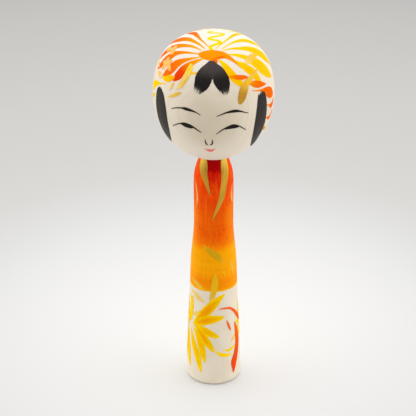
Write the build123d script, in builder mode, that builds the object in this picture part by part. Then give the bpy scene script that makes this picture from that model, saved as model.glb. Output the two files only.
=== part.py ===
"""A turned wooden kokeshi doll: a round head on a slim, gently flared body.

The head and the body are two separate lathe turnings. A round dowel is glued
into the top of the body, and the head sits on it with a running fit, so that
the head turns by hand about the doll's upright axis.

Frame: millimetres, +Z up, origin at the middle of the base, face towards -Y.
"""

from build123d import *

import os

# Overall heights
BODY_HEIGHT = 121.0
HEAD_HEIGHT = 59.0

# Body: radii of the turned profile, and the heights where they are reached
BASE_RADIUS = 13.3
BASE_STRAIGHT_HEIGHT = 3.0
BASE_EDGE_RADIUS = 1.6
FOOT_RADIUS = 12.85
FOOT_HEIGHT = 20.0
LOWER_RADIUS = 12.0
LOWER_HEIGHT = 40.0
WAIST_RADIUS = 11.4
WAIST_HEIGHT = 54.0
FLARE_RADIUS = 10.8
FLARE_HEIGHT = 68.0
COLUMN_RADIUS = 9.4
COLUMN_HEIGHT = 86.0
SHOULDER_HEIGHT = 107.2
BODY_TOP_RADIUS = 5.6
BODY_TOP_EDGE = 0.3

# Head: radii of the turned profile, and heights above the neck joint.
# The reaches say how far each quarter curve follows its end directions.
CHEEK_RADIUS = 27.9
CHEEK_HEIGHT = 31.0
CHEEK_REACH_UP = 23.5
CHEEK_REACH_DOWN = 16.0
CROWN_REACH = 13.0
NECK_SEAT_RADIUS = 7.2
NECK_SEAT_EDGE = 0.4
CHIN_REACH_OUT = 11.3
CHIN_REACH_UP = 4.4

# Neck dowel and its two blind holes
DOWEL_RADIUS = 3.0
DOWEL_END_CHAMFER = 0.5
DOWEL_DEPTH_IN_BODY = 14.0
DOWEL_DEPTH_IN_HEAD = 14.0
RUNNING_CLEARANCE = 0.05
HOLE_END_GAP = 1.0

TOTAL_HEIGHT = BODY_HEIGHT + HEAD_HEIGHT
CHEEK_LEVEL = BODY_HEIGHT + CHEEK_HEIGHT
DOWEL_FOOT = BODY_HEIGHT - DOWEL_DEPTH_IN_BODY


# Body: one turning, a straight column that flares into a wider foot.
with BuildPart() as body:
    with BuildSketch(Plane.XZ):
        with BuildLine():
            Line((0, 0), (BASE_RADIUS, 0))
            Line((BASE_RADIUS, 0), (BASE_RADIUS, BASE_STRAIGHT_HEIGHT))
            Spline(
                (BASE_RADIUS, BASE_STRAIGHT_HEIGHT),
                (FOOT_RADIUS, FOOT_HEIGHT),
                (LOWER_RADIUS, LOWER_HEIGHT),
                (WAIST_RADIUS, WAIST_HEIGHT),
                (FLARE_RADIUS, FLARE_HEIGHT),
                (COLUMN_RADIUS, COLUMN_HEIGHT),
                tangents=((0, 1), (0, 1)),
            )
            Line((COLUMN_RADIUS, COLUMN_HEIGHT), (COLUMN_RADIUS, SHOULDER_HEIGHT))
            TangentArc(
                (COLUMN_RADIUS, SHOULDER_HEIGHT),
                (BODY_TOP_RADIUS, BODY_HEIGHT),
                tangent=(0, 1),
            )
            Line((BODY_TOP_RADIUS, BODY_HEIGHT), (0, BODY_HEIGHT))
            Line((0, BODY_HEIGHT), (0, 0))
        make_face()
    revolve(axis=Axis.Z)

    base_rim = body.edges().filter_by(GeomType.CIRCLE).sort_by(Axis.Z)[0]
    fillet(base_rim, radius=BASE_EDGE_RADIUS)
    top_rim = body.edges().filter_by(GeomType.CIRCLE).sort_by(Axis.Z)[-1]
    fillet(top_rim, radius=BODY_TOP_EDGE)

    # Blind hole that the dowel is glued into
    with BuildSketch(Plane.XY.offset(DOWEL_FOOT)):
        Circle(DOWEL_RADIUS)
    extrude(amount=DOWEL_DEPTH_IN_BODY, mode=Mode.SUBTRACT)

body.part.label = "body"


# Head: one turning, a full round crown above cheeks that taper to the chin.
with BuildPart() as head:
    with BuildSketch(Plane.XZ):
        with BuildLine():
            Line((0, BODY_HEIGHT), (NECK_SEAT_RADIUS, BODY_HEIGHT))
            Bezier(
                (NECK_SEAT_RADIUS, BODY_HEIGHT),
                (NECK_SEAT_RADIUS + CHIN_REACH_OUT, BODY_HEIGHT + CHIN_REACH_UP),
                (CHEEK_RADIUS, CHEEK_LEVEL - CHEEK_REACH_DOWN),
                (CHEEK_RADIUS, CHEEK_LEVEL),
            )
            Bezier(
                (CHEEK_RADIUS, CHEEK_LEVEL),
                (CHEEK_RADIUS, CHEEK_LEVEL + CHEEK_REACH_UP),
                (CROWN_REACH, TOTAL_HEIGHT),
                (0, TOTAL_HEIGHT),
            )
            Line((0, TOTAL_HEIGHT), (0, BODY_HEIGHT))
        make_face()
    revolve(axis=Axis.Z)

    seat_rim = head.edges().filter_by(GeomType.CIRCLE).sort_by(Axis.Z)[0]
    fillet(seat_rim, radius=NECK_SEAT_EDGE)

    # Blind hole in the seat, a little wider and deeper than the dowel
    with BuildSketch(Plane.XY.offset(BODY_HEIGHT)):
        Circle(DOWEL_RADIUS + RUNNING_CLEARANCE)
    extrude(amount=DOWEL_DEPTH_IN_HEAD + HOLE_END_GAP, mode=Mode.SUBTRACT)

head.part.label = "head"


# Neck dowel: glued in the body, free in the head.
with BuildPart() as neck_dowel:
    with BuildSketch(Plane.XY.offset(DOWEL_FOOT)):
        Circle(DOWEL_RADIUS)
    extrude(amount=DOWEL_DEPTH_IN_BODY + DOWEL_DEPTH_IN_HEAD)
    dowel_rims = neck_dowel.edges().filter_by(GeomType.CIRCLE)
    chamfer(dowel_rims, length=DOWEL_END_CHAMFER)

neck_dowel.part.label = "neck_dowel"


os.makedirs("parts", exist_ok=True)
export_step(body.part, "parts/body.step")
export_step(head.part, "parts/head.step")
export_step(neck_dowel.part, "parts/neck_dowel.step")
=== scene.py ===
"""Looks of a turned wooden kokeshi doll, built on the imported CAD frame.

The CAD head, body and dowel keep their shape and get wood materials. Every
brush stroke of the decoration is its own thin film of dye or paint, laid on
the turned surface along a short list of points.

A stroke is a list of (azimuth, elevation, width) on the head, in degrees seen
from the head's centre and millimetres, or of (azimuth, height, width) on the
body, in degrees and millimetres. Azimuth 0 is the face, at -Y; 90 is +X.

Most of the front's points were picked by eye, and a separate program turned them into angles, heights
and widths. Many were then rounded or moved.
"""
import math
import random

import bpy
import numpy as np
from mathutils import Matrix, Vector


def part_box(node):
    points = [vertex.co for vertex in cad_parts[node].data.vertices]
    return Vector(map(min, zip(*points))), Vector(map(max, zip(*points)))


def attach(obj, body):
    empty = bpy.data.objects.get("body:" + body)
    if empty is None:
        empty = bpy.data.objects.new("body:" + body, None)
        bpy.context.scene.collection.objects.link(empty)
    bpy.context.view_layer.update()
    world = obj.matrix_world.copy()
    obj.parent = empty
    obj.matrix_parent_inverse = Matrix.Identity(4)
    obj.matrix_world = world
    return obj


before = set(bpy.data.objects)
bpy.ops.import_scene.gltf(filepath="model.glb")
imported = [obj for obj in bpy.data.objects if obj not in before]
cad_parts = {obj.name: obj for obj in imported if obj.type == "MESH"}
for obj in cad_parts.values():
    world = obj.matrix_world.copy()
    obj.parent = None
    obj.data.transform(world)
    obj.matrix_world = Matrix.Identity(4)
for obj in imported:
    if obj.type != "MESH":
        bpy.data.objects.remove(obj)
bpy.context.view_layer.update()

MM = 0.001
random.seed(11)

# ---------------------------------------------------------------- camera ----

CAMERA_DISTANCE = 0.8       # metres
CAMERA_PITCH = math.radians(28)
CAMERA_AZIMUTH = math.radians(5.5)
CAMERA_AIM_HEIGHT = 0.0919  # metres
CAMERA_LENS = 145.8         # focal length in mm
CAMERA_SHIFT = -0.0135      # share of the picture's width


def add_camera():
    """A long lens that looks down on the doll, a little to the right of its face."""
    camera = bpy.data.cameras.new("camera")
    camera.lens = CAMERA_LENS
    camera.shift_x = CAMERA_SHIFT
    holder = bpy.data.objects.new("camera", camera)
    flat = CAMERA_DISTANCE * math.cos(CAMERA_PITCH)
    holder.location = (
        flat * math.sin(CAMERA_AZIMUTH),
        -flat * math.cos(CAMERA_AZIMUTH),
        CAMERA_AIM_HEIGHT + CAMERA_DISTANCE * math.sin(CAMERA_PITCH),
    )
    holder.rotation_euler = (math.pi / 2 - CAMERA_PITCH, 0, CAMERA_AZIMUTH)
    bpy.context.scene.collection.objects.link(holder)
    bpy.context.scene.camera = holder


add_camera()

# ---------------------------------------------------- the turned surfaces ----

BORE_CLEAR = 3.6 * MM       # CAD points nearer the axis than this are in the dowel's hole
HEAD_CENTRE_RISE = 29 * MM  # above the neck joint
ANGLE_STEP = 1.5            # between points of the head's outline, in degrees
HEIGHT_STEP = 1.0 * MM      # between points of the body's outline

neck_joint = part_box("head")[0].z
head_centre = Vector((0, 0, neck_joint + HEAD_CENTRE_RISE))


def outline(node, measure, step):
    """The outline of a CAD turning: a surface distance for each step of an angle or height."""
    points = np.array([v.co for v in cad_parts[node].data.vertices])
    spread = np.hypot(points[:, 0], points[:, 1])
    outside = (spread > BORE_CLEAR) | (points[:, 2] > head_centre.z)
    key, value = measure(spread[outside], points[outside, 2])
    order = np.argsort(key)
    grid = np.arange(key.min(), key.max() + step, step)
    return grid, np.interp(grid, key[order], value[order])


def angle_and_reach(spread, height):
    """The head is measured from its centre: an elevation, and the distance to the surface."""
    rise = height - head_centre.z
    return np.degrees(np.arctan2(rise, spread)), np.hypot(spread, rise)


def height_and_radius(spread, height):
    """The body is measured from its axis."""
    return height, spread


head_angles, head_reaches = outline("head", angle_and_reach, ANGLE_STEP)
body_heights, body_radii = outline("body", height_and_radius, HEIGHT_STEP)


class HeadSurface:
    """A point is found along a ray from the head's centre."""

    body = "head"

    def place(self, azimuth, elevation):
        turn, rise = math.radians(azimuth), math.radians(elevation)
        flat = math.cos(rise)
        away = Vector((flat * math.sin(turn), -flat * math.cos(turn), math.sin(rise)))
        return self.settle(head_centre + away, 0)

    def outward(self, point):
        return (point - head_centre).normalized()

    def settle(self, point, lift):
        away = self.outward(point)
        elevation = math.degrees(math.asin(max(-1, min(1, away.z))))
        return head_centre + away * (float(np.interp(elevation, head_angles, head_reaches)) + lift)


class BodySurface:
    """A point is found straight out from the axis at its own height."""

    body = "body"

    def place(self, azimuth, height):
        turn = math.radians(azimuth)
        return self.settle(Vector((math.sin(turn), -math.cos(turn), height * MM)), 0)

    def outward(self, point):
        return Vector((point.x, point.y, 0)).normalized()

    def settle(self, point, lift):
        away = self.outward(point)
        radius = float(np.interp(point.z, body_heights, body_radii)) + lift
        return Vector((away.x * radius, away.y * radius, point.z))


HEAD = HeadSurface()
BODY = BodySurface()

# ---------------------------------------------------------------- colours ----


def srgb(red, green, blue):
    """A colour given as 0 to 255 screen values, as linear light."""
    def linear(value):
        value /= 255
        return value / 12.92 if value <= 0.04045 else ((value + 0.055) / 1.055) ** 2.4
    return np.array([linear(red), linear(green), linear(blue)])


YELLOW = srgb(255, 212, 2)
AMBER = srgb(254, 178, 4)
ORANGE = srgb(253, 148, 4)
VERMILION = srgb(250, 108, 6)
MARIGOLD = srgb(254, 199, 2)
RED = srgb(238, 64, 10)
STEM_RED = srgb(240, 84, 28)
CORAL = srgb(248, 100, 40)
INK = srgb(28, 24, 23)
INK_SOFT = srgb(52, 47, 45)
# A painted sheen on the black ink.
SHEEN = srgb(70, 62, 60)
INK_THIN = srgb(104, 94, 86)
LIP = srgb(250, 136, 122)
GOLD = srgb(206, 158, 46)
GOLD_BRIGHT = srgb(232, 198, 66)
GOLD_DARK = srgb(176, 124, 34)
GOLD_PALE = srgb(226, 174, 44)
GOLD_WARM = srgb(220, 168, 48)
BRONZE = srgb(198, 144, 36)
OLIVE = srgb(214, 164, 12)
AMBER_GREEN = srgb(240, 186, 14)
LEMON = srgb(250, 212, 58)
HONEY = srgb(236, 190, 60)
TAN = srgb(246, 208, 116)
PALE_TAN = srgb(240, 218, 170)
PEACH = srgb(252, 190, 98)
PEACH_DEEP = srgb(252, 162, 66)
PETAL_HEART = srgb(253, 156, 2)


def blend(a, b, share):
    return a + (b - a) * max(0.0, min(1.0, share))


def paint(*stops, heart=None, strength=0.8):
    """A stroke's colours from root to tip, with an optional heart colour along its middle.

    The heart fades out towards both edges and both ends.
    """
    def colour(along, across):
        place = along * (len(stops) - 1)
        first = min(int(place), len(stops) - 2) if len(stops) > 1 else 0
        second = min(first + 1, len(stops) - 1)
        tint = blend(stops[first], stops[second], place - first)
        if heart is not None:
            middle = (1 - across * across) ** 1.4 * math.sin(math.pi * min(1, along * 1.05)) ** 1.5
            tint = blend(tint, heart, strength * middle)
        return tint
    return colour


# ------------------------------------------------------------ the strokes ----

PATH_STEP = 0.5 * MM       # spacing of rows along a stroke
COLUMN_STEP = 0.5 * MM     # spacing of columns across a stroke
LAYER = 0.035 * MM         # a film's height above the film below it
OVERLAP = 0.008 * MM       # a film's strokes differ in height by this, so that none coincide
OVERLAP_STEPS = 4          # and after this many strokes the heights repeat
SINK = 0.05 * MM           # how far a film's underside lies inside the wood
THINNEST = 0.06 * MM       # a stroke's least width
SHORTEST_HAIR = 3          # in rows, below which a hair is left out
NOISE_ROOM = 50            # each stroke's streaks start at a random place in noise of this size


def swell(peak, grow=1.0, root=0.1, tip=0.05, fall=0.75):
    """A brush's width along a stroke, as a share of its widest, which is at peak.

    A higher grow keeps the root thin for longer, and a lower fall makes the end rounder.
    """
    def share(along):
        if along < peak:
            return root + (1 - root) * math.sin(math.pi / 2 * along / peak) ** grow
        past = (along - peak) / (1 - peak)
        return tip + (1 - tip) * max(0.0, 1 - past * past) ** fall
    return share


# How the brush is pressed in each kind of stroke.
PETAL = swell(0.72, grow=2.2, root=0.13)
LEAF = swell(0.5, root=0.06)
DROP = swell(0.72, grow=1.6, root=0.06, fall=0.5)
PRESSED = swell(0.35, grow=0.6, root=0.2)
EVEN = swell(0.5, grow=0.2, root=0.5, tip=0.5, fall=0.3)


def flow(points):
    """A smooth curve through control rows (Catmull-Rom), sampled every PATH_STEP."""
    rows = [2 * points[0] - points[1]] + list(points) + [2 * points[-1] - points[-2]]
    samples = []
    for before, start, end, after in zip(rows, rows[1:], rows[2:], rows[3:]):
        count = max(2, math.ceil(np.linalg.norm((end - start)[:3]) / PATH_STEP))
        for t in np.arange(count) / count:
            samples.append(0.5 * (2 * start + (end - before) * t
                                  + (2 * before - 5 * start + 4 * end - after) * t ** 2
                                  + (3 * start - before - 3 * end + after) * t ** 3))
    samples.append(rows[-2])
    return samples


class Film:
    """A piece of the decoration: strokes of one kind, joined into one mesh of closed films."""

    def __init__(self, name, surface, slot, layer=1):
        self.name = name
        self.surface = surface
        self.slot = slot
        self.layer = layer * LAYER
        self.count = 0
        self.vertices = []
        self.faces = []
        self.rims = set()
        self.tints = []
        self.brushed = []

    def follow(self, points):
        """Centres, sideways directions, distances along, and any widths, of a smooth path."""
        samples = flow(points)
        centres = [self.surface.settle(Vector(s[:3]), 0) for s in samples]
        sides = []
        for index, centre in enumerate(centres):
            ahead = centres[min(index + 1, len(centres) - 1)] - centres[max(index - 1, 0)]
            sides.append(self.surface.outward(centre).cross(ahead).normalized())
        lengths = np.cumsum([0] + [(b - a).length for a, b in zip(centres, centres[1:])])
        return centres, sides, lengths, [s[3] if len(s) > 3 else 0 for s in samples]

    def stroke(self, points, width, colour, press=PETAL):
        """Lays one brush stroke through (azimuth, elevation or height) points, at most width mm wide."""
        path = [np.array(self.surface.place(*point)) for point in points]
        centres, sides, lengths, _ = self.follow(path)
        widths = [width * MM * press(share) for share in lengths / lengths[-1]]
        self.ribbon(centres, sides, lengths, widths, colour)

    def line(self, points, colour):
        """Lays a stroke whose points each give their own width, in mm, as a third number."""
        path = [np.array([*self.surface.place(a, b), width * MM]) for a, b, width in points]
        self.ribbon(*self.follow(path), colour)

    def hairs(self, points, count, width, start, end, rounding, colour):
        """Fine hair strokes side by side along a path, with uneven ends.

        start and end are (least, most) shares of the length. The outer hairs are shorter by rounding.
        Each hair thins at its root and, more slowly, at its tip.
        """
        path = [np.array([*self.surface.place(a, b), w * MM]) for a, b, w in points]
        centres, sides, lengths, widths = self.follow(path)
        last = len(centres) - 1
        for number in range(count):
            across = 2 * (number + random.random()) / count - 1
            first = round(last * random.uniform(*start))
            final = round(last * (random.uniform(*end) - rounding * across * across))
            if final - first < SHORTEST_HAIR:
                continue
            span = range(first, final + 1)
            shares = [(index - first) / (final - first) for index in span]
            self.ribbon(
                [centres[i] + sides[i] * widths[i] / 2 * across for i in span],
                [sides[i] for i in span],
                [lengths[i] - lengths[first] for i in span],
                [width * MM * min(1, 4 * share + 0.2) * min(1, 2.5 * (1 - share)) for share in shares],
                colour,
            )

    def ribbon(self, centres, sides, lengths, widths, colour):
        """A closed film along a path: a top face, an underside in the wood, and walls between them."""
        columns = max(2, 2 * math.ceil(max(widths) / COLUMN_STEP / 2)) + 1
        rows = len(centres)
        seed = random.random() * NOISE_ROOM
        height = self.layer + OVERLAP * (self.count % OVERLAP_STEPS)
        self.count += 1
        base = len(self.vertices)
        under = base + rows * columns
        grid = []
        for centre, side, length, width in zip(centres, sides, lengths, widths):
            half = max(width, THINNEST) / 2
            for column in range(columns):
                across = 2 * column / (columns - 1) - 1
                grid.append(centre + side * half * across)
                self.tints.append(colour(length / lengths[-1], across))
                self.brushed.append((length / MM, across * half / MM, seed))
        self.tints += self.tints[-len(grid):]
        self.brushed += self.brushed[-len(grid):]
        self.vertices += [self.surface.settle(point, height) for point in grid]
        self.vertices += [self.surface.settle(point, -SINK) for point in grid]
        for row in range(rows - 1):
            for column in range(columns - 1):
                corner = row * columns + column
                quad = (corner, corner + 1, corner + columns + 1, corner + columns)
                self.faces.append([base + i for i in quad])
                self.faces.append([under + i for i in reversed(quad)])
        left = [row * columns for row in range(rows)]
        right = [row * columns + columns - 1 for row in reversed(range(rows))]
        near = list(range(columns - 1, -1, -1))
        far = [(rows - 1) * columns + column for column in range(columns)]
        for rim in (left, far, right, near):
            for i, j in zip(rim, rim[1:]):
                self.faces.append([base + i, base + j, under + j, under + i])
                self.rims.add(frozenset((base + i, base + j)))

    def finish(self, material):
        """Makes the mesh, which rides on the head or the body as a piece of its own."""
        mesh = bpy.data.meshes.new(self.name)
        mesh.from_pydata([tuple(vertex) for vertex in self.vertices], [], self.faces)
        mesh.shade_smooth()
        for name, values in (("tint", self.tints), ("brushed", self.brushed)):
            attribute = mesh.attributes.new(name, "FLOAT_VECTOR", "POINT")
            attribute.data.foreach_set("vector", [number for value in values for number in value])
        for edge in mesh.edges:
            if frozenset(edge.vertices) in self.rims:
                edge.use_edge_sharp = True
        mesh.materials.append(material)
        piece = bpy.data.objects.new(self.name, mesh)
        bpy.context.scene.collection.objects.link(piece)
        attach(piece, self.surface.body)


# -------------------------------------------------------------- materials ----


class Recipe:
    """A short way to write one node material."""

    def __init__(self, name, **sockets):
        self.material = bpy.data.materials.new(name)
        self.material.use_nodes = True
        self.tree = self.material.node_tree
        self.shader = self.tree.nodes["Principled BSDF"]
        for socket, value in sockets.items():
            self.shader.inputs[socket.replace("_", " ")].default_value = value

    def feed(self, socket, value):
        if isinstance(value, bpy.types.NodeSocket):
            self.tree.links.new(value, socket)
        elif isinstance(value, np.ndarray):
            socket.default_value = (*value, 1.0)
        else:
            socket.default_value = value

    def node(self, kind, inputs=None, **settings):
        made = self.tree.nodes.new("ShaderNode" + kind)
        for key, value in settings.items():
            setattr(made, key, value)
        for key, value in (inputs or {}).items():
            self.feed(made.inputs[key], value)
        return made

    def millimetres(self):
        return self.vector("MULTIPLY", self.node("TexCoord").outputs["Object"], (1000, 1000, 1000))

    def attribute(self, name):
        return self.node("Attribute", attribute_name=name).outputs["Vector"]

    def parts(self, vector):
        return self.node("SeparateXYZ", {"Vector": vector}).outputs

    def maths(self, operation, *values):
        made = self.node("Math", dict(enumerate(values)), operation=operation)
        return made.outputs["Value"]

    def vector(self, operation, *values):
        made = self.node("VectorMath", dict(enumerate(values)), operation=operation)
        return made.outputs["Value" if operation == "LENGTH" else "Vector"]

    def noise(self, place, stretch, detail=2.0):
        """Noise from 0 to 1, with this many waves in a millimetre along each axis."""
        scaled = self.vector("MULTIPLY", place, stretch)
        return self.node("TexNoise", {"Vector": scaled, "Scale": 1.0, "Detail": detail}).outputs["Fac"]

    def spread(self, value, low, high, to_low=0.0, to_high=1.0):
        """Maps low..high smoothly onto to_low..to_high."""
        inputs = {"Value": value, "From Min": low, "From Max": high, "To Min": to_low, "To Max": to_high}
        return self.node("MapRange", inputs, interpolation_type="SMOOTHSTEP").outputs["Result"]

    def vary(self, noise, low, high):
        """The middle of a noise, where most of it is, spread over low..high."""
        return self.spread(noise, 0.3, 0.7, low, high)

    def mix(self, share, first, second):
        made = self.node("Mix", {0: share, 6: first, 7: second}, data_type="RGBA")
        return made.outputs[2]

    def ramp(self, value, *stops):
        """Colours by value; a stop is (value, colour), and the values need not be from 0 to 1."""
        low, high = stops[0][0], stops[-1][0]
        share = self.maths("DIVIDE", self.maths("SUBTRACT", value, low), high - low)
        made = self.node("ValToRGB", {"Fac": share})
        elements = made.color_ramp.elements
        while len(elements) < len(stops):
            elements.new(1.0)
        for element, (place, colour) in zip(elements, stops):
            element.position = (place - low) / (high - low)
            element.color = (*colour, 1.0)
        return made.outputs["Color"]

    def finish(self, colour, roughness, height, depth):
        """Joins the colour, the roughness and a relief of this depth, in millimetres, to the shader."""
        inputs = {"Height": height, "Distance": depth * MM, "Strength": 1.0}
        self.feed(self.shader.inputs["Base Color"], colour)
        self.feed(self.shader.inputs["Roughness"], roughness)
        self.feed(self.shader.inputs["Normal"], self.node("Bump", inputs).outputs["Normal"])
        return self.material


WOOD_LIGHT = srgb(233, 223, 205)
WOOD_WARM = srgb(229, 217, 196)
WOOD_RING = srgb(200, 178, 146)
WOOD_GRAIN = srgb(208, 188, 158)
# The next three colours are painted: light on the chin, light on the crown, and shade in the middle of
# the face.
WOOD_CHIN_BOUNCE_LIGHT = srgb(250, 240, 222)
WOOD_CROWN_LIGHT = srgb(232, 223, 214)
WOOD_FACE_SHADE = srgb(214, 200, 176)

FIBRES = (2.4, 2.4, 0.16)  # waves in a millimetre along each axis: long, fine and upright
RING_WANDER = 5.0          # how far the rings stray from round, in mm
WOOD_RELIEF = 0.008        # depth in mm


class WoodRecipe(Recipe):
    """Pale, close-grained wood, turned and waxed: rings about an upright pith, and fine fibres."""

    def __init__(self, name, pith, ring_gap, **sockets):
        super().__init__(name, **sockets)
        self.place = self.millimetres()
        wander = self.maths("MULTIPLY", self.noise(self.place, (0.06, 0.06, 0.025)), RING_WANDER)
        from_pith = self.vector("MULTIPLY", self.vector("SUBTRACT", self.place, pith), (1, 1, 0.02))
        distance = self.maths("ADD", self.vector("LENGTH", from_pith), wander)
        wave = self.maths("SINE", self.maths("MULTIPLY", distance, 2 * math.pi / ring_gap))
        self.rings = self.spread(wave, 0.1, 1.0)
        self.fibres = self.noise(self.place, FIBRES, detail=3.0)
        self.tool_marks = self.noise(self.place, (0.03, 0.03, 1.9))
        self.blotches = self.noise(self.place, (0.07, 0.07, 0.03))

    def bare(self):
        colour = self.mix(self.vary(self.blotches, 0.0, 1.0), WOOD_LIGHT, WOOD_WARM)
        colour = self.mix(self.maths("MULTIPLY", self.rings, 0.09), colour, WOOD_RING)
        return self.mix(self.spread(self.fibres, 0.45, 0.75, 0.0, 0.16), colour, WOOD_GRAIN)

    def relief(self):
        height = self.maths("ADD", self.fibres, self.maths("MULTIPLY", self.tool_marks, 0.8))
        return self.maths("SUBTRACT", height, self.maths("MULTIPLY", self.rings, 0.3))


# The middle of the painted shade on the face.
FACE_MIDDLE = (0.0, -28.0, 150.0)   # mm


def head_wood():
    """Paler towards the chin, painted light from the floor below; whiter towards the crown, painted
    light from above; and darker in the middle of the face, painted shade.
    """
    recipe = WoodRecipe("dogwood_head", pith=(4.0, 34.0, 150.0), ring_gap=1.3, Specular_IOR_Level=0.15)
    height = recipe.parts(recipe.place)[2]
    # Painted light: paler towards the chin, where light from the floor falls.
    colour = recipe.mix(recipe.spread(height, 128.0, 148.0, 0.6, 0.0), recipe.bare(), WOOD_CHIN_BOUNCE_LIGHT)
    # Painted light: whiter towards the crown, where the light from above is strongest.
    colour = recipe.mix(recipe.spread(height, 160.0, 176.0, 0.0, 0.7), colour, WOOD_CROWN_LIGHT)
    # Painted shade: darker about the middle of the face, which faces the dimmer front.
    from_face = recipe.vector("LENGTH", recipe.vector("SUBTRACT", recipe.place, FACE_MIDDLE))
    colour = recipe.mix(recipe.spread(from_face, 4.0, 20.0, 0.75, 0.0), colour, WOOD_FACE_SHADE)
    roughness = recipe.vary(recipe.fibres, 0.46, 0.6)
    return recipe.finish(colour, roughness, recipe.relief(), depth=WOOD_RELIEF)


DYE_EDGE = 52.2            # height in mm where the body's dye begins
DYE_WOBBLE = 0.8           # how much that height varies, in mm
DYE_BLEED = 7.0            # how much the dye's colours run up and down the grain, in mm
DYE_RIM = srgb(246, 186, 10)
# Painted light: the dye's yellower colour round the sides.
DYE_SIDE_LIGHT = srgb(255, 176, 4)
DYE_STREAK = srgb(255, 132, 4)
DYE_MOTTLE = srgb(236, 44, 4)
DYE_RED = srgb(244, 72, 5)
DYE_SCARLET = srgb(214, 26, 4)
# The wedge's darkest red: partly the dye's own deep red and partly painted shade under the head.
DYE_DEEP_AND_SHADE = srgb(172, 2, 3)
WEDGE_AZIMUTH = math.radians(7)
WEDGE_POINT = 101.0        # height in mm where the wedge's sides meet
WEDGE_FLARE = math.radians(2.2)     # half its width, for each mm above that
WEDGE_FRAY = 9.0           # how uneven its fading is, in mm


def body_wood():
    """The same wood, bare below and dyed on the lathe above, from orange to yellow to red."""
    recipe = WoodRecipe("dogwood_body", pith=(1.5, 2.0, 0.0), ring_gap=1.7, Specular_IOR_Level=0.025)
    place = recipe.place
    across, depth, height = recipe.parts(place)
    streaks = recipe.noise(place, (1.3, 1.3, 0.07), detail=3.0)
    bands = recipe.noise(place, (0.05, 0.05, 0.8), detail=3.0)
    bleeding = recipe.maths("MULTIPLY", recipe.maths("SUBTRACT", streaks, 0.5), DYE_BLEED)
    dye = recipe.ramp(
        recipe.maths("ADD", height, bleeding),
        (52.0, srgb(255, 160, 4)),
        (57.0, srgb(251, 136, 2)),
        (61.0, srgb(254, 160, 3)),
        (66.0, srgb(252, 168, 3)),
        (73.5, srgb(252, 164, 3)),
        (77.0, srgb(248, 118, 3)),
        (82.0, srgb(243, 94, 2)),
        (90.0, srgb(243, 98, 3)),
        (98.0, srgb(243, 78, 4)),
        (106.0, DYE_RED),
        (121.0, DYE_RED),
    )
    # Yellower round the sides, painted light where the side light is strongest, and streaked along the
    # grain.
    turn = recipe.maths("ARCTAN2", across, recipe.maths("MULTIPLY", depth, -1.0))
    aside = recipe.spread(recipe.maths("ABSOLUTE", turn), math.radians(25), math.radians(70), 0.0, 0.34)
    painted_side_light = recipe.maths("MULTIPLY", aside, recipe.spread(height, 91.0, 103.0, 1.0, 0.1))
    dye = recipe.mix(painted_side_light, dye, DYE_SIDE_LIGHT)
    upper = recipe.spread(height, 72.0, 84.0)
    mottle = recipe.noise(place, (0.7, 0.7, 0.3), detail=3.0)
    most = recipe.maths("MULTIPLY", upper, 0.5)
    for value, tint in ((streaks, DYE_STREAK), (mottle, DYE_MOTTLE)):
        share = recipe.maths("MULTIPLY", recipe.spread(value, 0.5, 0.75), most)
        dye = recipe.mix(share, dye, tint)
    # The deep red showing between the two bands of the collar: a wedge that narrows downward.
    from_middle = recipe.maths("ABSOLUTE", recipe.maths("SUBTRACT", turn, WEDGE_AZIMUTH))
    half_width = recipe.maths("MULTIPLY", recipe.maths("SUBTRACT", height, WEDGE_POINT), WEDGE_FLARE)
    inside = recipe.spread(recipe.maths("SUBTRACT", half_width, from_middle), -0.12, 0.05)
    fray = recipe.maths("MULTIPLY", recipe.maths("SUBTRACT", mottle, 0.5), WEDGE_FRAY)
    uneven = recipe.maths("ADD", height, fray)
    wedge = recipe.maths("MULTIPLY", inside, recipe.spread(uneven, 102.0, 116.0))
    # Towards the neck, under the head, the wedge darkens: partly the dye's own deep red and partly
    # painted shade.
    dye = recipe.mix(wedge, dye, recipe.mix(recipe.spread(uneven, 112.0, 117.0), DYE_SCARLET, DYE_DEEP_AND_SHADE))
    shade = recipe.maths("ADD", recipe.spread(streaks, 0.25, 0.6, 0.92, 1.0),
                         recipe.vary(bands, -0.03, 0.03))
    dye = recipe.vector("MULTIPLY", dye, shade)
    # The dye stops in a clean line, with a thin yellow rim where it thinned out.
    wobble = recipe.maths("MULTIPLY", recipe.noise(place, (0.12, 0.12, 0.0)), DYE_WOBBLE)
    edge = recipe.maths("SUBTRACT", recipe.maths("ADD", height, wobble), DYE_EDGE + DYE_WOBBLE / 2)
    dye = recipe.mix(recipe.spread(edge, 0.2, 1.3), DYE_RIM, dye)
    colour = recipe.mix(recipe.spread(edge, -0.12, 0.18), recipe.bare(), dye)
    roughness = recipe.vary(recipe.fibres, 0.42, 0.56)
    return recipe.finish(colour, roughness, recipe.relief(), depth=WOOD_RELIEF)


def dowel_wood():
    """A darker, rougher rod, which only shows when the head is lifted off."""
    recipe = WoodRecipe("birch_dowel", pith=(9.0, 4.0, 0.0), ring_gap=1.2, Specular_IOR_Level=0.3)
    colour = recipe.mix(0.35, recipe.bare(), WOOD_RING)
    roughness = recipe.vary(recipe.fibres, 0.6, 0.75)
    return recipe.finish(colour, roughness, recipe.relief(), depth=0.015)


class BrushRecipe(Recipe):
    """Colour that a brush laid down: each film's own tints, with streaks along every stroke."""

    def __init__(self, name, streak_depth, **sockets):
        super().__init__(name, **sockets)
        brushed = self.attribute("brushed")
        self.streaks = self.noise(brushed, (0.11, 3.2, 1.0), detail=3.0)
        self.pools = self.noise(brushed, (0.35, 0.8, 1.0))
        shade = self.maths("ADD", self.spread(self.streaks, 0.25, 0.75, 1 - streak_depth, 1.0),
                           self.vary(self.pools, -0.05, 0.05))
        self.colour = self.vector("MULTIPLY", self.attribute("tint"), shade)


SOAKED_FIBRE = srgb(255, 196, 6)


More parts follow.
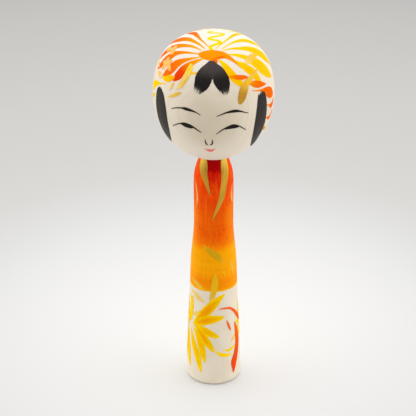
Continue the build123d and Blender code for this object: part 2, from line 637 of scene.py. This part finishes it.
def dye_paint():
    """Water dye, soaked into the wood: hardly any gloss, and the fibres show through."""
    recipe = BrushRecipe("dye_on_wood", streak_depth=0.1, Specular_IOR_Level=0.01)
    fibres = recipe.noise(recipe.millimetres(), FIBRES, detail=3.0)
    colour = recipe.mix(recipe.spread(fibres, 0.55, 0.8, 0.0, 0.08), recipe.colour, SOAKED_FIBRE)
    roughness = recipe.vary(recipe.pools, 0.46, 0.58)
    return recipe.finish(colour, roughness, recipe.streaks, depth=0.006)


def ink_paint():
    """Black ink with a soft sheen, streaked where the brush ran dry."""
    recipe = BrushRecipe("sumi_ink", streak_depth=0.25, Specular_IOR_Level=0.14)
    roughness = recipe.vary(recipe.streaks, 0.34, 0.5)
    return recipe.finish(recipe.colour, roughness, recipe.streaks, depth=0.012)


def gold_paint():
    """Thick gold paint with a little glitter."""
    recipe = BrushRecipe("gold_paint", streak_depth=0.26, Metallic=0.35, Specular_IOR_Level=0.25)
    flakes = recipe.noise(recipe.millimetres(), (5.0, 5.0, 5.0))
    colour = recipe.mix(recipe.spread(flakes, 0.5, 0.8, 0.0, 0.35), recipe.colour, GOLD_BRIGHT)
    roughness = recipe.vary(flakes, 0.38, 0.6)
    height = recipe.maths("ADD", recipe.streaks, recipe.maths("MULTIPLY", flakes, 0.4))
    return recipe.finish(colour, roughness, height, depth=0.014)


def gold_wash():
    """Gold thinned with water: pale and chalky, with little glitter."""
    recipe = BrushRecipe("gold_wash", streak_depth=0.08, Specular_IOR_Level=0.1)
    roughness = recipe.vary(recipe.pools, 0.45, 0.6)
    return recipe.finish(recipe.colour, roughness, recipe.streaks, depth=0.006)


DYE = dye_paint()
INK_PAINT = ink_paint()
GOLD_PAINT = gold_paint()
GOLD_WASH = gold_wash()

for node, material in (("head", head_wood()), ("body", body_wood()), ("neck_dowel", dowel_wood())):
    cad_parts[node].data.materials.clear()
    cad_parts[node].data.materials.append(material)

# ------------------------------------------------------ the crown's flower ----


def petals_on_the_left():
    """Petals that run from a yellow root through orange to a red tip."""
    film = Film("petals_left", HEAD, "dye_red")
    hot = paint(AMBER, ORANGE, VERMILION, CORAL)
    warm = paint(AMBER, ORANGE, VERMILION, VERMILION, heart=VERMILION, strength=0.6)
    film.line([(-7, 69.6, 0.4), (-22, 74, 0.7), (-48, 76.6, 1.1), (-76, 76.8, 1.6), (-107, 72.8, 2.4),
               (-119, 67.5, 3.2), (-124, 59, 0.4)], hot)
    film.line([(-13, 66.6, 0.4), (-30, 70.2, 1.0), (-53, 71.1, 1.8), (-77, 68.4, 2.8), (-91, 62, 4.0),
               (-101, 52, 3.4), (-106, 42, 0.5)], hot)
    film.line([(-17, 63.8, 0.4), (-29, 65.4, 0.9), (-45, 65.4, 1.6), (-60, 62.4, 2.3), (-70, 58.4, 3.2),
               (-79, 51, 4.2), (-84, 43, 3.4), (-86, 36, 0.5)], hot)
    film.line([(-20, 60, 0.7), (-33, 59, 1.0), (-45, 57.1, 1.6), (-54, 54.3, 2.4), (-60, 50.5, 3.7),
               (-65, 44, 4.9), (-69, 38, 3.8), (-75, 31, 0.8)], warm)
    film.line([(-14, 57, 0.5), (-22, 55.3, 0.9), (-29, 53.2, 1.5), (-37, 49.9, 2.6), (-44, 45.2, 4.5),
               (-48, 39.6, 4.9), (-52, 35.2, 3.6), (-57, 31, 0.6)], warm)
    film.line([(-9, 56, 0.6), (-17, 53, 1.7), (-25, 48.7, 2.9), (-31, 43.5, 3.7), (-33, 39, 4.2),
               (-36, 35.3, 3.5), (-39, 31.3, 0.8)], paint(AMBER, ORANGE, RED, RED))
    film.finish(DYE)


def petals_on_the_right():
    """Petals that run from a yellow root to a deeper yellow."""
    film = Film("petals_right", HEAD, "dye_yellow")
    sunny = paint(YELLOW, MARIGOLD, MARIGOLD, heart=AMBER, strength=0.35)
    film.line([(10, 67.3, 0.5), (37, 74.4, 0.8), (83, 75.8, 1.2), (112, 71.5, 1.9), (126, 64.5, 1.9),
               (133, 56, 0.4)], sunny)
    film.line([(21, 65.7, 0.4), (46, 70.1, 0.8), (75, 68.9, 1.7), (94, 63.2, 2.9), (103, 54.5, 3.4),
               (107, 43, 0.5)], sunny)
    film.line([(24, 64.5, 0.4), (43, 64.4, 1.2), (60, 61.2, 2.1), (74, 56.2, 3.7), (83, 49.3, 5.2),
               (90, 41, 5.2), (96, 30, 0.8)], sunny)
    film.line([(29, 59.5, 0.5), (42, 56.9, 1.7), (54, 51.8, 2.8), (60, 47, 4.5), (66, 41.9, 6.1),
               (71, 36.1, 6.2), (78, 29.3, 4.0), (82.5, 24.8, 0.5)], sunny)
    film.line([(34, 51.8, 0.8), (42, 47.2, 3.0), (47, 42.6, 3.9), (52, 38.5, 4.1), (55, 33.8, 3.6),
               (58, 29.6, 1.8), (59, 27.2, 0.5)], sunny)
    film.stroke([(12, 56), (19, 50), (27, 39), (38, 27.5)], 3.9, sunny, swell(0.56))
    film.finish(DYE)


def petals_at_the_back():
    """The crown's flower goes on round the back of the head, from yellow to coral."""
    film = Film("petals_back", HEAD, "dye_yellow")
    for petal in range(5):
        azimuth = 142 + 19 * petal
        low = 46 + 5 * (petal % 2)
        redness = petal / 4
        film.stroke(
            [(azimuth, 71), (azimuth - 1, 66), (azimuth + 1, 59), (azimuth, low)], 4.6,
            paint(YELLOW, blend(YELLOW, ORANGE, redness), blend(YELLOW, CORAL, redness)),
        )
    film.finish(DYE)


def crown_squiggle():
    """The thin wavy line at the top of the head."""
    film = Film("crown_squiggle", HEAD, "dye_yellow")
    film.stroke([
        (4, 65.2), (-3, 69), (6, 72.3), (22, 74.4), (29, 76.8), (18, 79.8), (-13, 81.2), (-24, 83),
        (7, 86.9), (86, 84.7), (115, 81.1), (138, 81.9), (170, 84.1),
        (-146, 83.2), (-152, 80.3), (-175, 78.5),
    ], 1.8, paint(YELLOW), EVEN)
    film.finish(DYE)


def rosette():
    """The flower's orange heart, with its tail curling down to the right."""
    film = Film("rosette", HEAD, "dye_red", layer=3)
    amber_at_the_tip = paint(*[ORANGE] * 6, AMBER)
    film.line([
        (-21, 60, 0.5), (-14, 60, 3.6), (-6, 60, 5.4), (3, 60, 6.1), (12, 60.3, 5.2),
        (19.5, 60, 3.9), (25.6, 57.9, 2.8), (30.8, 54.6, 1.9), (36.3, 49.2, 0.9), (39.5, 44.5, 0.3),
    ], amber_at_the_tip)
    under_edge = paint(VERMILION, VERMILION, ORANGE)
    film.stroke([(7, 57), (14, 57.3), (21, 57.2), (27, 55.6)], 1.4, under_edge, LEAF)
    film.stroke([(3, 57), (7, 54), (10, 51.5)], 3.0, paint(ORANGE, VERMILION, VERMILION), PRESSED)
    film.finish(DYE)


def leaves():
    """Loose leaves and drops below the flower."""
    red = Film("leaves_orange", HEAD, "dye_red", layer=2)
    fiery = paint(ORANGE, VERMILION, VERMILION)
    orange = paint(AMBER, ORANGE)
    red.line([(21, 40, 0.4), (29, 38.4, 1.9), (35, 37.4, 2.2), (40, 36.7, 1.7), (44.5, 35.9, 0.3)],
             fiery)
    red.line([(43.5, 30.6, 0.8), (49, 29, 2.9), (54, 27.4, 3.2), (60, 25.8, 2.2), (66.5, 24, 0.3)],
             fiery)
    red.line([(45, 24, 0.3), (52, 22.2, 0.6), (58, 20.9, 1.2), (63, 18.8, 2.9), (69, 15.5, 4.9),
              (74, 12.5, 4.8), (78, 10, 2.6), (79.5, 9, 1.0)], fiery)
    for drop in (
        [(82, 5, 0.4), (79, 1.5, 2.0), (75, 0, 2.8), (70, 2, 1.1), (65, 4.4, 0.3)],
        [(80, -6, 0.4), (78, -10.5, 1.7), (75, -12.8, 2.4), (69, -10.6, 1.2), (64, -8.6, 0.3)],
    ):
        red.line(drop, paint(CORAL, VERMILION, ORANGE))
    red.stroke([(65, -19.6), (69, -22.5), (74, -25)], 2.2, orange, LEAF)
    red.stroke([(100, 22), (106, 12), (107, 2)], 3.2, fiery, DROP)
    red.stroke([(103, -4), (108, -10), (108, -18)], 2.2, fiery, DROP)
    red.finish(DYE)
    yellow = Film("leaves_yellow", HEAD, "dye_yellow", layer=2)
    sunny = paint(YELLOW, AMBER)
    yellow.line([(-57.5, 29, 0.4), (-49, 30.6, 2.8), (-43, 32.7, 2.8), (-38.5, 35, 0.6)], sunny)
    yellow.line([(-47, 26.5, 0.3), (-57, 23.7, 0.8), (-66, 20.8, 2.6), (-72, 17, 3.8), (-75, 13.6, 2.6),
                 (-77, 11.5, 0.8)], paint(YELLOW))
    yellow.stroke([(-66, 11), (-72, 7), (-80, 4)], 1.8, paint(YELLOW), LEAF)
    yellow.stroke([(-21, 41), (-13, 42.5)], 0.9, sunny, EVEN)
    yellow.stroke([(-99, 27), (-106, 17), (-108, 8)], 3.0, sunny, DROP)
    yellow.stroke([(-101, -2), (-106, -8), (-106, -15)], 2.0, sunny, DROP)
    yellow.finish(DYE)


def gold_on_the_head():
    """One leaf in thick gold, and leaves, a star and a sprig in thinned gold, over the other strokes."""
    film = Film("gold_leaves", HEAD, "paint_gold", layer=5)
    film.line([(41.5, 32.6, 2.4), (38, 29.5, 3.7), (36, 26.4, 4.2), (34, 22.8, 4.1), (32, 18.5, 3.3),
               (30, 15, 1.0)], paint(AMBER_GREEN, GOLD_PALE, BRONZE, BRONZE, GOLD))
    film.finish(GOLD_PAINT)
    wash = Film("gold_wash_leaves", HEAD, "paint_gold", layer=5)
    lemon = paint(LEMON, LEMON, TAN, TAN, PALE_TAN)
    wash.line([(-23.5, 49.5, 1.2), (-23, 44.6, 2.7), (-24.2, 39.1, 3.0), (-26.5, 34.2, 2.9),
               (-28.8, 29.9, 2.3), (-34, 25.2, 0.4)], lemon)
    honey = paint(HONEY, HONEY, TAN)
    wash.line([(-22.5, 38.6, 0.4), (-24.5, 33.7, 1.1), (-27, 29.9, 1.2), (-29.5, 27, 0.4)], honey)
    wash.line([(-38, 29.9, 0.8), (-39, 27.3, 1.5), (-41.5, 22.5, 0.4)], paint(PEACH, TAN, PALE_TAN))
    wash.line([(-27, 24.2, 0.4), (-30, 22.3, 1.3), (-36, 19, 1.2), (-43, 16, 0.3)], honey)
    wash.line([(76, 49.2, 1.2), (66, 50, 2.7), (56, 48.9, 2.9), (47, 46.8, 1.0)], honey)
    wash.line([(61, 38.9, 0.4), (54, 37.5, 1.3), (49, 35.4, 1.9), (44, 33.2, 2.8), (40, 32.3, 1.6)],
              paint(HONEY, HONEY, HONEY, AMBER_GREEN))
    peach = paint(PEACH, PEACH, PEACH_DEEP)
    star_middle = (-59, 41.7)
    for tip in ((-65, 46.6), (-53, 46), (-46.5, 38), (-63, 34.5), (-69, 40.3)):
        wash.stroke([star_middle, tip], 2.2, peach, LEAF)
    sprig_middle = (-74, 52.3)
    for tip in ((-69, 58), (-60.5, 50.5), (-84, 47.5)):
        wash.stroke([sprig_middle, tip], 3.0, peach, LEAF)
    pale = paint(TAN, PEACH, PALE_TAN)
    wash.line([(-70, 30.6, 0.5), (-63, 30, 2.5), (-57.5, 29.5, 0.6)], pale)
    wash.line([(-82, 36, 0.7), (-75, 34.4, 1.9), (-71.5, 34.4, 0.4)], pale)
    wash.finish(GOLD_WASH)


# ----------------------------------------------------------- hair and face ----


def forelock():
    """Two lobes of hair that part over the forehead and end in brush hairs."""
    film = Film("forelock", HEAD, "ink_black", layer=4)
    # The lobes are lighter at their roots: a painted sheen where the top of the hair catches the light.
    colour = paint(SHEEN, SHEEN, INK, INK)
    for lobe in (
        [(0.5, 54, 0.5), (-1.5, 49.5, 3.0), (-3.5, 45.5, 5.2), (-5, 41, 7.0),
         (-5.5, 37.5, 7.6), (-7, 33.5, 6.6), (-9, 30, 5.2), (-11, 25.5, 4.2)],
        [(4.5, 54, 0.5), (7.8, 49.5, 2.8), (10.8, 45.5, 4.9), (12.5, 41, 6.5),
         (13.5, 37.5, 7.2), (15, 33.5, 6.3), (16, 30, 4.9), (17.5, 24, 3.4)],
    ):
        film.line(lobe[:-1], colour)
        film.hairs(lobe, count=36, width=0.3, start=(0.6, 0.75), end=(0.84, 1.0), rounding=0.06,
                   colour=paint(INK, INK, INK, INK_THIN))
    # A short stroke joins the lobes at the top; its root has the same painted sheen.
    film.line([(2.5, 54, 1.0), (3.3, 49, 2.6), (4, 43, 2.8), (4, 38, 0.3)],
              paint(SHEEN, SHEEN, INK_SOFT))
    film.finish(INK_PAINT)


def sidelock(name, path):
    """A broad lock down the side of the face, with brush hairs showing at both ends."""
    film = Film(name, HEAD, "ink_black", layer=4)
    colour = paint(INK_SOFT)
    film.line(path[1:-1], colour)
    film.hairs(path, count=30, width=0.5, start=(0.0, 0.05), end=(0.8, 1.0), rounding=0.0,
               colour=colour)
    film.finish(INK_PAINT)


def brows():
    """Two thin arches, thickest near the middle."""
    film = Film("brows", HEAD, "ink_black", layer=4)
    ink = paint(INK)
    film.line([(-37, 6.5, 0.3), (-31, 9, 0.45), (-25, 10.2, 0.7), (-21, 10.3, 1.4), (-15, 9.5, 1.0),
               (-11, 8.5, 0.5), (-6.5, 6.2, 0.15)], ink)
    film.line([(8, 5.3, 0.15), (13, 7.3, 0.45), (18, 8.8, 0.75), (25, 9.3, 1.35), (30, 8.4, 0.85),
               (34, 6.8, 0.45), (39, 4.6, 0.3)], ink)
    film.finish(INK_PAINT)


def eyes():
    """A thin line for each lid, and under it a short broad stroke for the eye."""
    film = Film("eyes", HEAD, "ink_black", layer=4)
    ink = paint(INK)
    film.line([(-37, -11.6, 0.2), (-32, -8.2, 0.4), (-25, -5.1, 0.5), (-21, -4.5, 0.6),
               (-16, -5.8, 0.7), (-11, -8.8, 0.6), (-6, -12.3, 0.15)], ink)
    film.line([(8, -13.5, 0.15), (13, -9.3, 0.5), (18, -6.4, 0.6), (23, -4.6, 0.6), (27, -5.3, 0.5),
               (32, -8.3, 0.45), (38, -13, 0.2)], ink)
    film.stroke([(-27, -6), (-20.5, -6.9), (-14, -8.1)], 1.65, ink, LEAF)
    film.stroke([(15, -8.2), (22, -6.4), (30, -7.3)], 1.95, ink, LEAF)
    film.finish(INK_PAINT)


def nose():
    """Two small hooks."""
    film = Film("nose", HEAD, "ink_black", layer=4)
    ink = paint(INK)
    film.line([(-2.6, -20, 0.15), (-2.7, -23.4, 0.5), (-2.0, -26.2, 0.65), (-0.8, -27.8, 0.3)], ink)
    film.line([(4, -19.7, 0.15), (4.3, -23.1, 0.5), (3.9, -25.9, 0.6), (1.8, -27.8, 0.3)], ink)
    film.finish(INK_PAINT)


def mouth():
    """A thin upper lip and a short lower one."""
    film = Film("mouth", HEAD, "dye_red", layer=4)
    lip = paint(LIP)
    film.line([(-5, -34.4, 0.2), (-2, -34.5, 0.6), (2, -35.2, 0.6), (5, -34.5, 0.6), (8, -33.7, 0.2)],
              lip)
    film.stroke([(-3, -36.7), (2, -37.3), (6, -36.4)], 1.1, lip, LEAF)
    film.finish(DYE)


# ------------------------------------------------------ the kimono's gold ----


def shaded_gold(inner_side, dark_place, tone):
    """Gold that darkens, a little way down, towards the edge nearer the throat."""
    plain = paint(GOLD_BRIGHT, tone, tone, tone)

    def colour(along, across):
        shade = math.exp(-(2 * along / dark_place - 2) ** 2) * (0.5 + 0.5 * across * inner_side)
        return blend(plain(along, across), GOLD_DARK, 0.85 * shade)
    return colour


def collar():
    """The kimono's collar: a short band and a long one, which end in points."""
    film = Film("collar_gold", BODY, "paint_gold", layer=2)
    film.line([(-47, 120.6, 3.4), (-40, 119, 4.0), (-32, 116.4, 4.6), (-25, 113.4, 3.4), (-16, 110, 2.2),
               (-9, 106.1, 1.1), (-4, 103.2, 0.3)], shaded_gold(1, 0.33, GOLD))
    film.line([(60, 120.6, 3.4), (53, 118.8, 4.0), (47, 116.3, 4.4), (43, 113.1, 4.1), (38, 109.7, 3.5),
               (34, 105.7, 3.2), (28, 101.3, 2.7), (16, 96.2, 1.7), (5, 91.7, 0.6), (0, 89.5, 0.2)],
              shaded_gold(-1, 0.2, GOLD_WARM))
    film.finish(GOLD_PAINT)


def kimono_wash():
    """Leaves in thin gold over the dye, half seen."""
    film = Film("gold_wash_body", BODY, "paint_gold", layer=2)
    tan = paint(TAN)
    film.stroke([(-24, 76.8), (-8, 74.4), (5, 72.6), (18, 70.7), (33, 67.3)], 3.2,
                paint(AMBER, OLIVE, OLIVE, OLIVE, AMBER), LEAF)
    film.stroke([(26, 63.6), (32, 62.2), (37, 60.6)], 1.3, paint(AMBER, AMBER_GREEN, AMBER), LEAF)
    film.line([(10, 62.5, 0.3), (10, 59.6, 2.3), (9, 56.8, 3.4), (7, 53.7, 3.2), (4, 51.1, 2.8),
               (0, 47.9, 2.2), (-4, 45.8, 0.6)],
              paint(AMBER_GREEN, AMBER_GREEN, AMBER_GREEN, HONEY, TAN))
    film.stroke([(-63, 57), (-45, 55.7), (-29, 54.1), (-14, 53)], 2.4, paint(AMBER, HONEY, AMBER), LEAF)
    film.stroke([(-61, 50.2), (-46, 49), (-34, 47.9), (-18, 46)], 2.9, tan, LEAF)
    film.stroke([(-51, 37), (-33, 39), (-16, 40)], 2.6, tan, LEAF)
    film.stroke([(49, 68.5), (57, 64.3), (61, 59.5)], 1.6, paint(AMBER, HONEY, AMBER), LEAF)
    film.line([(-68, 111, 0.3), (-55, 106.9, 1.0), (-49.5, 102.8, 1.1), (-48.5, 98.8, 1.0),
               (-54, 94, 0.3)], paint(CORAL, PEACH_DEEP, PEACH, CORAL))
    film.line([(81, 108, 0.5), (71, 105, 1.4), (69, 100.6, 1.9), (75, 97, 0.4)],
              paint(CORAL, PEACH_DEEP, PEACH))
    film.finish(GOLD_WASH)


# ---------------------------------------------------- the lower flowers ----


def lower_flower():
    """The yellow flower below the kimono, with an orange heart along each petal."""
    film = Film("flower_front", BODY, "dye_yellow", layer=3)
    for path, width, warmth in (
        ([(-47, 33), (-27, 37.5), (-5, 43), (17, 48), (33, 50.3)], 4.9, 1.0),
        ([(-49, 32), (-25, 35), (-3, 37), (31, 38)], 4.8, 0.9),
        ([(-39, 32.5), (-18, 31), (0, 29), (18, 27)], 3.9, 0.55),
        ([(-45, 32), (-27, 29.5), (-10, 24.5), (7, 19)], 4.2, 0.8),
        ([(-49, 30.5), (-35, 27.5), (-22, 21), (-14, 12.5)], 3.8, 0.45),
        ([(-55, 29), (-46, 22.5), (-32, 15.5), (-22, 6.5)], 3.8, 0.35),
        ([(-66, 28), (-68, 22), (-63, 15.5), (-55, 7.5)], 4.0, 0.3),
        ([(-72, 30), (-82, 24), (-84, 17), (-82, 9.5)], 3.8, 0.5),
        ([(-74, 32), (-92, 29), (-102, 24), (-108, 17)], 3.8, 0.7),
        ([(-74, 34), (-96, 35), (-112, 33), (-126, 29)], 3.8, 0.5),
        ([(-70, 36), (-86, 41), (-100, 43.5), (-116, 44)], 3.8, 0.8),
    ):
        film.stroke(path, width, paint(YELLOW, heart=PETAL_HEART, strength=warmth), LEAF)
    film.line([(-57, 33.6, 1.4), (-57, 37.8, 2.9), (-56, 42.6, 2.9), (-58.5, 46.6, 2.4)], paint(YELLOW))
    film.line([(-66, 30.5, 1.2), (-67, 34.8, 3.0), (-66, 37.5, 1.2)], paint(YELLOW, AMBER))
    film.finish(DYE)


def flower_behind():
    """A second flower, on the side that the front never shows."""
    film = Film("flower_behind", BODY, "dye_yellow")
    colour = paint(YELLOW, heart=PETAL_HEART, strength=0.65)
    azimuth, height, reach, petals = 136, 31, 15, 11
    degrees_per_mm = 4.8
    for petal in range(petals):
        angle = 2 * math.pi * petal / petals + 0.2
        across = degrees_per_mm * math.cos(angle)
        steps = [(azimuth + across * r, height + math.sin(angle) * r) for r in (2, reach / 2, reach)]
        film.stroke(steps, 3.6, colour, LEAF)
    film.finish(DYE)


def red_strokes():
    """A curled stem, a short dash and a long leaf to the right of the flower."""
    film = Film("stems_red", BODY, "dye_red", layer=4)
    red = paint(VERMILION, CORAL, RED)
    film.line([(18, 42.8, 0.3), (33, 42.6, 0.9), (47, 41.8, 1.1), (61, 39.1, 1.5), (74, 35.4, 1.9),
               (86, 31.6, 0.8)], red)
    film.stroke([(37, 36), (41, 33), (47, 29.3)], 1.2, red, LEAF)
    film.line([(61, 32.8, 0.4), (66, 28.7, 2.3), (69, 24.1, 3.3), (68, 19.5, 3.4), (62, 14.9, 3.7),
               (55.5, 11.2, 4.2), (54, 7.7, 2.6), (53, 4.8, 0.4)], paint(VERMILION, STEM_RED, RED))
    film.finish(DYE)


def small_leaves():
    """Thin yellow leaves about the red ones."""
    film = Film("leaves_body", BODY, "dye_yellow", layer=2)
    sunny = paint(YELLOW)
    film.stroke([(84, 43), (86, 38), (83, 33.6), (79, 30.2), (74, 26.8)], 2.8, sunny, LEAF)
    film.stroke([(61, 26.5), (54, 24.3), (47, 23)], 1.2, sunny, LEAF)
    film.stroke([(27, 19.6), (43, 18.8), (64, 20.5)], 1.4, sunny, LEAF)
    film.stroke([(8, 19.8), (22, 17.2), (36, 16.2), (48, 16.3)], 1.9, sunny, LEAF)
    film.finish(DYE)


petals_on_the_left()
petals_on_the_right()
petals_at_the_back()
crown_squiggle()
rosette()
leaves()
gold_on_the_head()
forelock()
sidelock("sidelock_left", [
    (-55, 20.8, 1.6), (-55.5, 17, 5.8), (-54.5, 9, 8.0), (-53.5, 0, 9.0), (-53, -10, 8.8),
    (-53.5, -20, 8.0), (-56, -30, 6.0), (-60, -38, 3.0), (-63, -43, 1.0),
])
sidelock("sidelock_right", [
    (56.5, 20.5, 3.4), (57, 15, 5.8), (57, 7, 7.0), (56.5, -2, 7.8), (56.5, -12, 8.0),
    (57, -22, 7.2), (58, -31, 5.4), (62, -40, 3.2), (67, -47, 1.0),
])
brows()
eyes()
nose()
mouth()
collar()
kimono_wash()
lower_flower()
flower_behind()
red_strokes()
small_leaves()

# --------------------------------------------------------- floor and light ----


FLOOR_RADIUS = 2.5
FLOOR_SIDES = 96
LIGHT_POOL_MIDDLE = (0.0, 30.0, 0.0)      # mm
COOL_WHITE = np.array([0.985, 0.995, 1.0])
WARM_WHITE = np.array([1.0, 0.985, 0.97])


def floor():
    """A pale sheet with painted light: brightest in a round pool of light about the doll, darker further
    out, and light again far away.
    """
    mesh = bpy.data.meshes.new("floor")
    turns = np.linspace(0, 2 * math.pi, FLOOR_SIDES + 1)[:-1]
    rim = [(FLOOR_RADIUS * math.cos(turn), FLOOR_RADIUS * math.sin(turn), 0) for turn in turns]
    mesh.from_pydata(rim, [], [list(range(FLOOR_SIDES))])
    sheet = bpy.data.objects.new("floor", mesh)
    sheet.rotation_euler.z = CAMERA_AZIMUTH
    bpy.context.scene.collection.objects.link(sheet)
    recipe = Recipe("paper_sheet", Specular_IOR_Level=0.2)
    place = recipe.millimetres()
    distance = recipe.vector("LENGTH", recipe.vector("SUBTRACT", place, LIGHT_POOL_MIDDLE))
    # Painted light: the sheet's tone falls off from the pool of light about the doll and rises again far
    # away.
    tone = recipe.ramp(
        distance,
        (0, COOL_WHITE * 0.75),
        (30, COOL_WHITE * 0.742),
        (60, COOL_WHITE * 0.717),
        (90, COOL_WHITE * 0.683),
        (122, COOL_WHITE * 0.64),
        (155, COOL_WHITE * 0.58),
        (190, WARM_WHITE * 0.53),
        (240, WARM_WHITE * 0.505),
        (310, WARM_WHITE * 0.485),
        (465, WARM_WHITE * 0.42),
        (520, WARM_WHITE * 0.385),
        (700, WARM_WHITE * 0.38),
        (1500, COOL_WHITE * 0.85),
        (2500, COOL_WHITE * 0.95),
    )
    tooth = recipe.noise(place, (0.6, 0.6, 0.6))
    mesh.materials.append(recipe.finish(tone, roughness=0.8, height=tooth, depth=0.02))


STUDIO_WHITE = (1.0, 0.99, 0.975, 1.0)


def studio():
    """Soft light from all round, strongest from above and the sides and weakest from the front."""
    scene = bpy.context.scene
    scene.view_settings.view_transform = "Standard"
    world = bpy.data.worlds.new("studio")
    world.use_nodes = True
    scene.world = world
    tree = world.node_tree
    background = tree.nodes["Background"]
    direction = tree.nodes.new("ShaderNodeTexCoord")
    split = tree.nodes.new("ShaderNodeSeparateXYZ")
    tree.links.new(direction.outputs["Generated"], split.inputs[0])

    def weigh(socket, low, high, to_low, to_high):
        """Maps low..high onto to_low..to_high, a part of the light's strength."""
        made = tree.nodes.new("ShaderNodeMapRange")
        tree.links.new(socket, made.inputs["Value"])
        made.inputs["From Min"].default_value = low
        made.inputs["From Max"].default_value = high
        made.inputs["To Min"].default_value = to_low
        made.inputs["To Max"].default_value = to_high
        return made.outputs["Result"]

    def combine(operation, *sockets):
        made = tree.nodes.new("ShaderNodeMath")
        made.operation = operation
        for number, socket in enumerate(sockets):
            tree.links.new(socket, made.inputs[number])
        return made.outputs[0]

    front = weigh(split.outputs["Y"], -1, 0.3, -0.7, 0.0)
    above = weigh(split.outputs["Z"], 0, 1, 1.13, 1.57)
    sides = weigh(combine("ABSOLUTE", split.outputs["X"]), 0.65, 0.96, 0.0, 1.15)
    strength = combine("ADD", combine("ADD", front, above), sides)
    tree.links.new(strength, background.inputs["Strength"])
    background.inputs["Color"].default_value = STUDIO_WHITE


floor()
studio()
